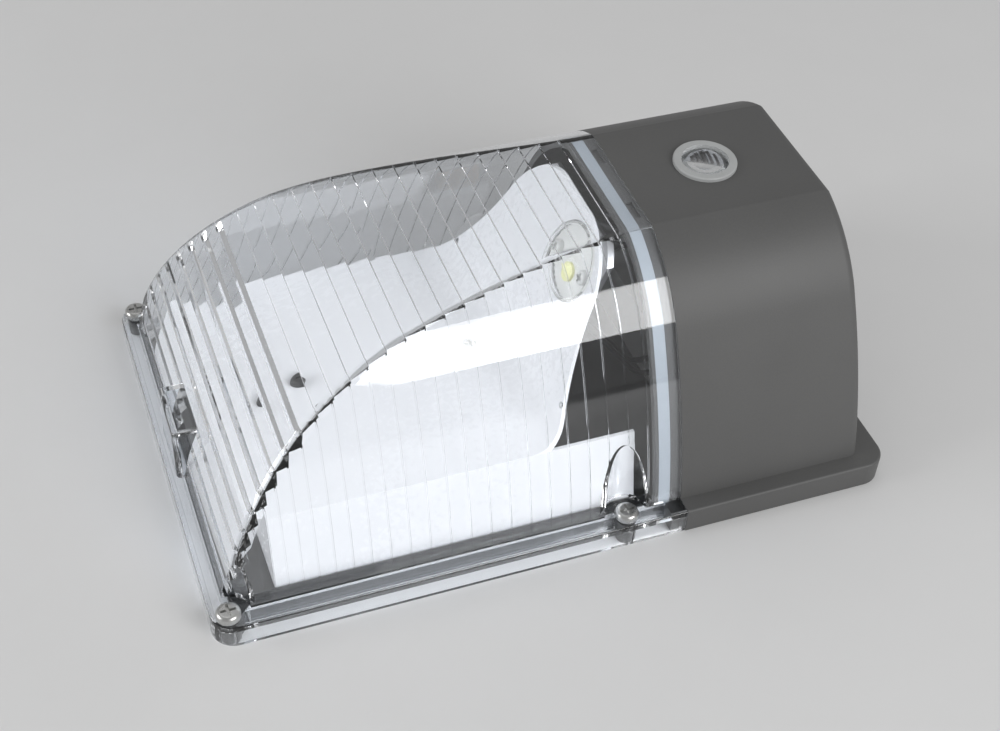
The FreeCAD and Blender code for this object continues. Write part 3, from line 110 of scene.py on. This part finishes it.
class StudioSettings(bpy.types.PropertyGroup):
    lens_length: FloatProperty(
        name="Focal length", description="Focal length of the camera in millimetres",
        default=59.64, min=10, max=300)
    azimuth: FloatProperty(
        name="Azimuth", description="Camera direction round the light",
        subtype="ANGLE", unit="ROTATION", default=math.radians(22.6))
    elevation: FloatProperty(
        name="Elevation", description="Camera direction above the floor",
        subtype="ANGLE", unit="ROTATION", default=math.radians(44.12))
    roll: FloatProperty(
        name="Roll", description="Turn of the camera about its own axis",
        subtype="ANGLE", unit="ROTATION", default=math.radians(3.68))
    place: FloatVectorProperty(
        name="Camera place", description="Where the camera stands",
        subtype="TRANSLATION", unit="LENGTH", size=3,
        default=(-0.16002, -0.3912, 0.42779))
    key_power: FloatProperty(
        name="Key light", description="Power of the soft light at the near side",
        unit="POWER", default=12.5, min=0, max=500)
    end_power: FloatProperty(
        name="End light", description="Power of the soft light off the lens end",
        unit="POWER", default=7.5, min=0, max=500)
    top_power: FloatProperty(
        name="Top light", description="Power of the soft light overhead",
        unit="POWER", default=1.5, min=0, max=500)
    world_strength: FloatProperty(
        name="World", description="Strength of the plain surrounding light",
        default=0.4, min=0, max=5)
    glass_bounces: IntProperty(
        name="Glass bounces", description="Reflections that light may take inside the lens",
        default=24, min=4, max=64)


# ---- node tree helpers ---------------------------------------------------------
def add_node(tree, kind, place, **values):
    node = tree.nodes.new(kind)
    node.location = place
    for name, value in values.items():
        setattr(node, name, value)
    return node


def new_group(name, inputs, outputs):
    """Node group with float inputs (name, default, lowest, highest) and float outputs."""
    tree = bpy.data.node_groups.new(name, "ShaderNodeTree")
    for title, default, low, high in inputs:
        socket = tree.interface.new_socket(title, in_out="INPUT",
                                           socket_type="NodeSocketFloat")
        socket.default_value = default
        socket.min_value = low
        socket.max_value = high
    for title in outputs:
        tree.interface.new_socket(title, in_out="OUTPUT", socket_type="NodeSocketFloat")
    start = add_node(tree, "NodeGroupInput", (-900, 0))
    end = add_node(tree, "NodeGroupOutput", (600, 0))
    return tree, start, end


def fine_grain_group():
    """Two sizes of noise on the piece's own place: a mask for colour, a height for bump."""
    if "Fine grain" in bpy.data.node_groups:
        return bpy.data.node_groups["Fine grain"]
    tree, start, end = new_group(
        "Fine grain",
        [("Scale", 900.0, 1.0, 20000.0), ("Mottling", 25.0, 0.1, 2000.0)],
        ["Mask", "Height"])
    place = add_node(tree, "ShaderNodeTexCoord", (-900, 250))
    fine = add_node(tree, "ShaderNodeTexNoise", (-600, 200))
    fine.inputs["Detail"].default_value = 3.0
    fine.inputs["Roughness"].default_value = 0.6
    broad = add_node(tree, "ShaderNodeTexNoise", (-600, -100))
    broad.inputs["Detail"].default_value = 4.0
    blend = add_node(tree, "ShaderNodeMix", (-200, 0), data_type="FLOAT")
    blend.inputs["Factor"].default_value = 0.35
    spread = add_node(tree, "ShaderNodeMapRange", (100, 0))
    spread.inputs["From Min"].default_value = 0.35
    spread.inputs["From Max"].default_value = 0.65
    link = tree.links.new
    link(place.outputs["Object"], fine.inputs["Vector"])
    link(place.outputs["Object"], broad.inputs["Vector"])
    link(start.outputs["Scale"], fine.inputs["Scale"])
    link(start.outputs["Mottling"], broad.inputs["Scale"])
    link(broad.outputs["Fac"], blend.inputs["A"])
    link(fine.outputs["Fac"], blend.inputs["B"])
    link(blend.outputs["Result"], spread.inputs["Value"])
    link(spread.outputs["Result"], end.inputs["Mask"])
    link(fine.outputs["Fac"], end.inputs["Height"])
    return tree


def smudge_group():
    """Broad faint smears and a sparse scatter of dust, as a value from 0 to 1."""
    if "Smudges and dust" in bpy.data.node_groups:
        return bpy.data.node_groups["Smudges and dust"]
    tree, start, end = new_group(
        "Smudges and dust",
        [("Smear scale", 30.0, 0.1, 2000.0), ("Dust scale", 700.0, 1.0, 20000.0),
         ("Dust amount", 0.3, 0.0, 1.0)],
        ["Mask"])
    place = add_node(tree, "ShaderNodeTexCoord", (-900, 250))
    smear = add_node(tree, "ShaderNodeTexNoise", (-600, 200))
    smear.inputs["Detail"].default_value = 5.0
    smear.inputs["Distortion"].default_value = 0.8
    dust = add_node(tree, "ShaderNodeTexVoronoi", (-600, -100))
    spots = add_node(tree, "ShaderNodeMapRange", (-350, -100))
    spots.inputs["From Min"].default_value = 0.16
    spots.inputs["From Max"].default_value = 0.06
    amount = add_node(tree, "ShaderNodeMath", (-100, -100), operation="MULTIPLY")
    both = add_node(tree, "ShaderNodeMath", (150, 50), operation="ADD", use_clamp=True)
    spread = add_node(tree, "ShaderNodeMapRange", (-350, 200))
    spread.inputs["From Min"].default_value = 0.4
    spread.inputs["From Max"].default_value = 0.75
    link = tree.links.new
    link(place.outputs["Object"], smear.inputs["Vector"])
    link(place.outputs["Object"], dust.inputs["Vector"])
    link(start.outputs["Smear scale"], smear.inputs["Scale"])
    link(start.outputs["Dust scale"], dust.inputs["Scale"])
    link(smear.outputs["Fac"], spread.inputs["Value"])
    link(dust.outputs["Distance"], spots.inputs["Value"])
    link(spots.outputs["Result"], amount.inputs[0])
    link(start.outputs["Dust amount"], amount.inputs[1])
    link(spread.outputs["Result"], both.inputs[0])
    link(amount.outputs["Value"], both.inputs[1])
    link(both.outputs["Value"], end.inputs["Mask"])
    return tree


def mix_colours(tree, place, mask, low, high):
    mix = add_node(tree, "ShaderNodeMix", place, data_type="RGBA")
    mix.inputs["A"].default_value = (*low, 1)
    mix.inputs["B"].default_value = (*high, 1)
    tree.links.new(mask, mix.inputs["Factor"])
    return mix.outputs["Result"]


def map_value(tree, place, mask, low, high):
    span = add_node(tree, "ShaderNodeMapRange", place)
    span.inputs["To Min"].default_value = low
    span.inputs["To Max"].default_value = high
    tree.links.new(mask, span.inputs["Value"])
    return span.outputs["Result"]


def shade(colour, factor):
    return tuple(min(1.0, c * factor) for c in colour)


def solid_finish(name, colour, rough, metallic=0.0, grain=900.0, mottling=25.0,
                 contrast=0.12, bump=0.15, depth=0.00005):
    """Opaque finish: mottled colour, uneven roughness and a fine bump from one grain."""
    material = bpy.data.materials.new(name)
    material.use_nodes = True
    tree = material.node_tree
    shader = tree.nodes["Principled BSDF"]
    shader.inputs["Metallic"].default_value = metallic
    texture = add_node(tree, "ShaderNodeGroup", (-700, 0))
    texture.node_tree = fine_grain_group()
    texture.inputs["Scale"].default_value = grain
    texture.inputs["Mottling"].default_value = mottling
    mask = texture.outputs["Mask"]
    tree.links.new(mix_colours(tree, (-400, 200), mask, shade(colour, 1 - contrast),
                               shade(colour, 1 + contrast)),
                   shader.inputs["Base Color"])
    tree.links.new(map_value(tree, (-400, 0), mask,
                             max(LEAST_ROUGHNESS, rough - ROUGHNESS_SPREAD),
                             rough + ROUGHNESS_SPREAD),
                   shader.inputs["Roughness"])
    if bump:
        relief = add_node(tree, "ShaderNodeBump", (-250, -250))
        relief.inputs["Strength"].default_value = bump
        relief.inputs["Distance"].default_value = depth
        tree.links.new(texture.outputs["Height"], relief.inputs["Height"])
        tree.links.new(relief.outputs["Normal"], shader.inputs["Normal"])
    return material


def clear_finish(name, tint, ior):
    """Clear moulding that lets lamps through to what is behind it."""
    material = bpy.data.materials.new(name)
    material.use_nodes = True
    tree = material.node_tree
    shader = tree.nodes["Principled BSDF"]
    shader.inputs["Base Color"].default_value = (*tint, 1)
    shader.inputs["IOR"].default_value = ior
    shader.inputs["Transmission Weight"].default_value = 1.0
    smudge = add_node(tree, "ShaderNodeGroup", (-700, 0))
    smudge.node_tree = smudge_group()
    tree.links.new(map_value(tree, (-400, 0), smudge.outputs["Mask"], CLEAR_ROUGHNESS,
                             CLEAR_ROUGHNESS + SMUDGE_ROUGHNESS),
                   shader.inputs["Roughness"])
    path = add_node(tree, "ShaderNodeLightPath", (0, 400))
    through = add_node(tree, "ShaderNodeBsdfTransparent", (0, -200))
    through.inputs["Color"].default_value = (*tint, 1)
    mix = add_node(tree, "ShaderNodeMixShader", (350, 0))
    tree.nodes["Material Output"].location = (600, 0)
    tree.links.new(path.outputs["Is Shadow Ray"], mix.inputs["Fac"])
    tree.links.new(shader.outputs["BSDF"], mix.inputs[1])
    tree.links.new(through.outputs["BSDF"], mix.inputs[2])
    tree.links.new(mix.outputs["Shader"], tree.nodes["Material Output"].inputs["Surface"])
    return material


def wear(node_name, material):
    """Put a finish on a node of the frame."""
    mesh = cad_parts[node_name].data
    mesh.materials.clear()
    mesh.materials.append(material)


# ---- mesh helpers --------------------------------------------------------------
def place_piece(name, mesh, body, material):
    """Make an object of a finished bmesh, with its place in its mesh."""
    data = bpy.data.meshes.new(name)
    mesh.to_mesh(data)
    mesh.free()
    for face in data.polygons:
        face.use_smooth = True
    piece = bpy.data.objects.new(name, data)
    bpy.context.scene.collection.objects.link(piece)
    data.materials.append(material)
    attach(piece, body)
    return piece


# ---- operators: one for each piece or group of like pieces ---------------------
class DressHousing(bpy.types.Operator):
    """Powder coat on the die-cast housing"""
    bl_idname = "wallpack.dress_housing"
    bl_label = "Housing"

    def execute(self, context):
        settings = context.scene.wallpack_finish
        wear("housing", solid_finish(
            "Powder coat", settings.coat_colour, 0.5, grain=0.9 / settings.coat_grain,
            mottling=14.0, contrast=0.10, bump=0.5, depth=0.00006))
        return {"FINISHED"}


class DressLens(bpy.types.Operator):
    """Clear polycarbonate of the prismatic lens"""
    bl_idname = "wallpack.dress_lens"
    bl_label = "Lens"

    def execute(self, context):
        settings = context.scene.wallpack_finish
        wear("lens", clear_finish("Clear polycarbonate", settings.lens_tint,
                                  POLYCARBONATE_IOR))
        return {"FINISHED"}


class DressReflector(bpy.types.Operator):
    """Gloss white enamel on the reflector"""
    bl_idname = "wallpack.dress_reflector"
    bl_label = "Reflector"

    def execute(self, context):
        settings = context.scene.wallpack_finish
        wear("reflector", solid_finish(
            "White enamel", settings.enamel_colour, 0.28, grain=500.0, mottling=9.0,
            contrast=0.02, bump=0.08, depth=0.00004))
        return {"FINISHED"}


class DressFasteners(bpy.types.Operator):
    """Zinc, black, white and green coats on the screws"""
    bl_idname = "wallpack.dress_fasteners"
    bl_label = "Screws"

    def execute(self, context):
        zinc = solid_finish("Zinc plate", (0.55, 0.55, 0.54), 0.3, metallic=1.0,
                            grain=2500.0, mottling=120.0, contrast=0.15, bump=0.2)
        black = solid_finish("Black screw coat", (0.03, 0.03, 0.03), 0.35,
                             grain=2000.0, mottling=200.0, contrast=0.3, bump=0.1)
        green = solid_finish("Green screw coat", (0.03, 0.2, 0.06), 0.35,
                             grain=2000.0, mottling=200.0, contrast=0.2, bump=0.1)
        for name in ("lens_screws", "bracket_screws", "driver_screws"):
            wear(name, zinc)
        wear("led_screws", solid_finish(
            "White screw coat", (0.75, 0.75, 0.74), 0.4, grain=2000.0, mottling=200.0,
            contrast=0.05, bump=0.1))
        wear("reflector_screw", black)
        wear("ramp_screw", solid_finish(
            "White nickel", (0.80, 0.80, 0.78), 0.35, metallic=0.6, grain=2500.0,
            mottling=120.0, contrast=0.1, bump=0.1))
        wear("ground_screw", green)
        return {"FINISHED"}


class DressSeals(bpy.types.Operator):
    """Black rubber of the gaskets and the wire entry, pale silicone at the collar"""
    bl_idname = "wallpack.dress_seals"
    bl_label = "Gaskets"

    def execute(self, context):
        rubber = solid_finish("Seal rubber", (0.03, 0.03, 0.03), 0.7, grain=1500.0,
                              mottling=90.0, contrast=0.25, bump=0.4)
        for name in ("lens_gasket", "photocell_gasket", "wire_entry_grommet"):
            wear(name, rubber)
        wear("collar_gasket", solid_finish(
            "Pale silicone", (0.40, 0.44, 0.48), 0.5, grain=1500.0, mottling=60.0,
            contrast=0.06, bump=0.15))
        return {"FINISHED"}


class DressLightEngine(bpy.types.Operator):
    """Bracket, board, phosphor and clear dome of the light engine"""
    bl_idname = "wallpack.dress_light_engine"
    bl_label = "Light engine"

    def execute(self, context):
        wear("led_bracket", solid_finish(
            "Mill aluminium", (0.62, 0.62, 0.63), 0.38, metallic=1.0, grain=1200.0,
            mottling=60.0, contrast=0.08, bump=0.2))
        wear("led_board", solid_finish(
            "White solder mask", (0.8, 0.8, 0.79), 0.35, grain=1500.0, mottling=80.0,
            contrast=0.04, bump=0.05))
        wear("led_emitter", solid_finish(
            "Phosphor", (0.88, 0.87, 0.48), 0.55, grain=3000.0, mottling=400.0,
            contrast=0.1, bump=0.3))
        wear("led_dome", clear_finish("Clear silicone", (0.99, 0.99, 0.98), DOME_IOR))
        return {"FINISHED"}


class DressDriver(bpy.types.Operator):
    """Driver case, lid and potted circuit"""
    bl_idname = "wallpack.dress_driver"
    bl_label = "Driver"

    def execute(self, context):
        shell = solid_finish("Driver enamel", (0.62, 0.62, 0.61), 0.5, grain=900.0,
                             mottling=40.0, contrast=0.05, bump=0.15)
        wear("driver_case", shell)
        wear("driver_lid", shell)
        wear("driver_circuit", solid_finish(
            "Potting resin", (0.03, 0.03, 0.034), 0.3, grain=300.0, mottling=60.0,
            contrast=0.2, bump=0.2))
        return {"FINISHED"}


class DressWiring(bpy.types.Operator):
    """Insulation of the leads and the twist-on connectors"""
    bl_idname = "wallpack.dress_wiring"
    bl_label = "Wiring"

    def execute(self, context):
        jacket = solid_finish("Lead insulation", (0.04, 0.04, 0.045), 0.4, grain=2500.0,
                              mottling=150.0, contrast=0.2, bump=0.1)
        for name in ("photocell_leads", "driver_input_leads", "driver_output_leads"):
            wear(name, jacket)
        wear("wire_connectors", solid_finish(
            "Connector plastic", (0.6, 0.28, 0.04), 0.42, grain=1800.0, mottling=100.0,
            contrast=0.08, bump=0.2))
        return {"FINISHED"}


class DressPhotocell(bpy.types.Operator):
    """Photocell body, window, sensor and nut"""
    bl_idname = "wallpack.dress_photocell"
    bl_label = "Photocell"

    def execute(self, context):
        settings = context.scene.wallpack_finish
        wear("photocell_body", solid_finish(
            "Photocell plastic", settings.bezel_colour, 0.4, grain=2000.0,
            mottling=120.0, contrast=0.06, bump=0.15))
        wear("photocell_lens", clear_finish("Photocell window", (0.96, 0.97, 0.98),
                                            ACRYLIC_IOR))
        wear("photocell_sensor", solid_finish(
            "Sensor face", (0.30, 0.31, 0.33), 0.35, grain=3000.0, mottling=300.0,
            contrast=0.15, bump=0.1))
        wear("photocell_nut", solid_finish(
            "Black nylon", (0.03, 0.03, 0.03), 0.5, grain=1500.0, mottling=90.0,
            contrast=0.2, bump=0.2))
        return {"FINISHED"}


class AddSensorTrack(bpy.types.Operator):
    """Dark track that winds across the light sensor's face"""
    bl_idname = "wallpack.add_sensor_track"
    bl_label = "Sensor track"

    def execute(self, context):
        settings = context.scene.wallpack_photocell
        low, high = (Vector(corner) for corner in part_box("photocell_sensor"))
        middle = (low + high) / 2
        reach = (high.y - low.y) / 2 * TRACK_REACH
        pitch = 2 * reach / settings.track_runs
        track = bmesh.new()
        for index in range(settings.track_runs):
            along = -reach + (index + 0.5) * pitch
            half = math.sqrt(reach ** 2 - along ** 2)
            self.bar(track, middle.x + along, middle.y, settings.track_width, 2 * half,
                     high.z, settings.track_height)
            if index + 1 < settings.track_runs:
                after = along + pitch
                side = 1 if index % 2 else -1
                edge = min(half, math.sqrt(max(0.0, reach ** 2 - after ** 2)))
                self.bar(track, middle.x + along + pitch / 2,
                         middle.y + side * (edge - settings.track_width / 2),
                         pitch + settings.track_width, settings.track_width,
                         high.z, settings.track_height)
        bmesh.ops.bevel(track, geom=track.edges, offset=settings.track_height * TRACK_BEVEL,
                        affect="EDGES", segments=2, profile=0.5, material=-1)
        place_piece("sensor_track", track, FIXTURE, solid_finish(
            "Sensor track", (0.012, 0.009, 0.012), 0.3, grain=4000.0, mottling=500.0,
            contrast=0.2, bump=0.1))
        return {"FINISHED"}

    def bar(self, mesh, x, y, length, width, z, height):
        """Low bar of the track, sunk a little into the face it lies on."""
        made = bmesh.ops.create_cube(mesh, size=1.0)["verts"]
        bmesh.ops.scale(mesh, vec=(length, width, 2 * height), verts=made)
        bmesh.ops.translate(mesh, vec=(x, y, z), verts=made)


class BuildStudio(bpy.types.Operator):
    """Pale floor, soft lights and the camera"""
    bl_idname = "wallpack.build_studio"
    bl_label = "Studio"

    def execute(self, context):
        settings = context.scene.wallpack_studio
        self.floor()
        self.lights(settings)
        self.world(context, settings)
        self.camera(context, settings)
        return {"FINISHED"}

    def floor(self):
        mesh = bmesh.new()
        bmesh.ops.create_grid(mesh, x_segments=2, y_segments=2, size=FLOOR_REACH)
        bmesh.ops.translate(mesh, verts=mesh.verts, vec=(0, 0, -FLOOR_DROP))
        data = bpy.data.meshes.new("Floor")
        mesh.to_mesh(data)
        mesh.free()
        floor = bpy.data.objects.new("Floor", data)
        bpy.context.scene.collection.objects.link(floor)
        floor.data.materials.append(solid_finish(
            "Pale floor", (0.72, 0.72, 0.72), 0.6, grain=40.0, mottling=2.0,
            contrast=0.01, bump=0.0))

    def lights(self, settings):
        for name, place, size, power in LAMPS:
            data = bpy.data.lights.new(name, "AREA")
            data.shape = "SQUARE"
            data.size = size
            data.energy = getattr(settings, power)
            lamp = bpy.data.objects.new(name, data)
            lamp.location = place
            aim = Vector(LAMP_TARGET) - Vector(place)
            lamp.rotation_euler = aim.to_track_quat("-Z", "Y").to_euler()
            bpy.context.scene.collection.objects.link(lamp)

    def world(self, context, settings):
        world = bpy.data.worlds.new("Studio")
        world.use_nodes = True
        back = world.node_tree.nodes["Background"]
        back.inputs["Color"].default_value = (1, 1, 1, 1)
        back.inputs["Strength"].default_value = settings.world_strength
        context.scene.world = world

    def camera(self, context, settings):
        azimuth = settings.azimuth
        elevation = settings.elevation
        roll = settings.roll
        ahead = Vector((math.sin(azimuth) * math.cos(elevation),
                        math.cos(azimuth) * math.cos(elevation), -math.sin(elevation)))
        level = Vector((math.cos(azimuth), -math.sin(azimuth), 0))
        upward = level.cross(ahead)
        right = level * math.cos(roll) + upward * math.sin(roll)
        up = upward * math.cos(roll) - level * math.sin(roll)
        data = bpy.data.cameras.new("Camera")
        data.lens = settings.lens_length
        data.sensor_width = SENSOR_WIDTH
        data.sensor_fit = "HORIZONTAL"
        data.clip_start = 0.01
        data.clip_end = 50.0
        camera = bpy.data.objects.new("Camera", data)
        turn = Matrix((right, up, -ahead)).transposed().to_4x4()
        camera.matrix_world = Matrix.Translation(Vector(settings.place)) @ turn
        context.scene.collection.objects.link(camera)
        context.scene.camera = camera
        context.scene.view_settings.view_transform = "Standard"
        context.scene.cycles.glossy_bounces = settings.glass_bounces
        context.scene.cycles.transmission_bounces = settings.glass_bounces
        context.scene.cycles.max_bounces = settings.glass_bounces


STEPS = (DressHousing, DressLens, DressReflector, DressFasteners, DressSeals,
         DressLightEngine, DressDriver, DressWiring, DressPhotocell, AddSensorTrack,
         BuildStudio)


class WALLPACK_PT_panel(bpy.types.Panel):
    """Sizes, finishes and steps of the wall pack light"""
    bl_label = "Wall pack"
    bl_idname = "WALLPACK_PT_panel"
    bl_space_type = "VIEW_3D"
    bl_region_type = "UI"
    bl_category = "Wall pack"

    def draw(self, context):
        groups = (context.scene.wallpack_finish, context.scene.wallpack_photocell,
                  context.scene.wallpack_studio)
        for settings in groups:
            box = self.layout.box()
            for name in settings.__annotations__:
                box.prop(settings, name)
        for step in STEPS:
            self.layout.operator(step.bl_idname)


CLASSES = (FinishSettings, PhotocellSettings, StudioSettings) + STEPS + (WALLPACK_PT_panel,)


def register():
    for item in CLASSES:
        bpy.utils.register_class(item)
    scene = bpy.types.Scene
    scene.wallpack_finish = PointerProperty(type=FinishSettings)
    scene.wallpack_photocell = PointerProperty(type=PhotocellSettings)
    scene.wallpack_studio = PointerProperty(type=StudioSettings)


def unregister():
    scene = bpy.types.Scene
    del scene.wallpack_studio
    del scene.wallpack_photocell
    del scene.wallpack_finish
    for item in reversed(CLASSES):
        bpy.utils.unregister_class(item)


def main():
    register()
    for step in STEPS:
        group, name = step.bl_idname.split(".")
        getattr(getattr(bpy.ops, group), name)()


if __name__ == "__main__":
    main()
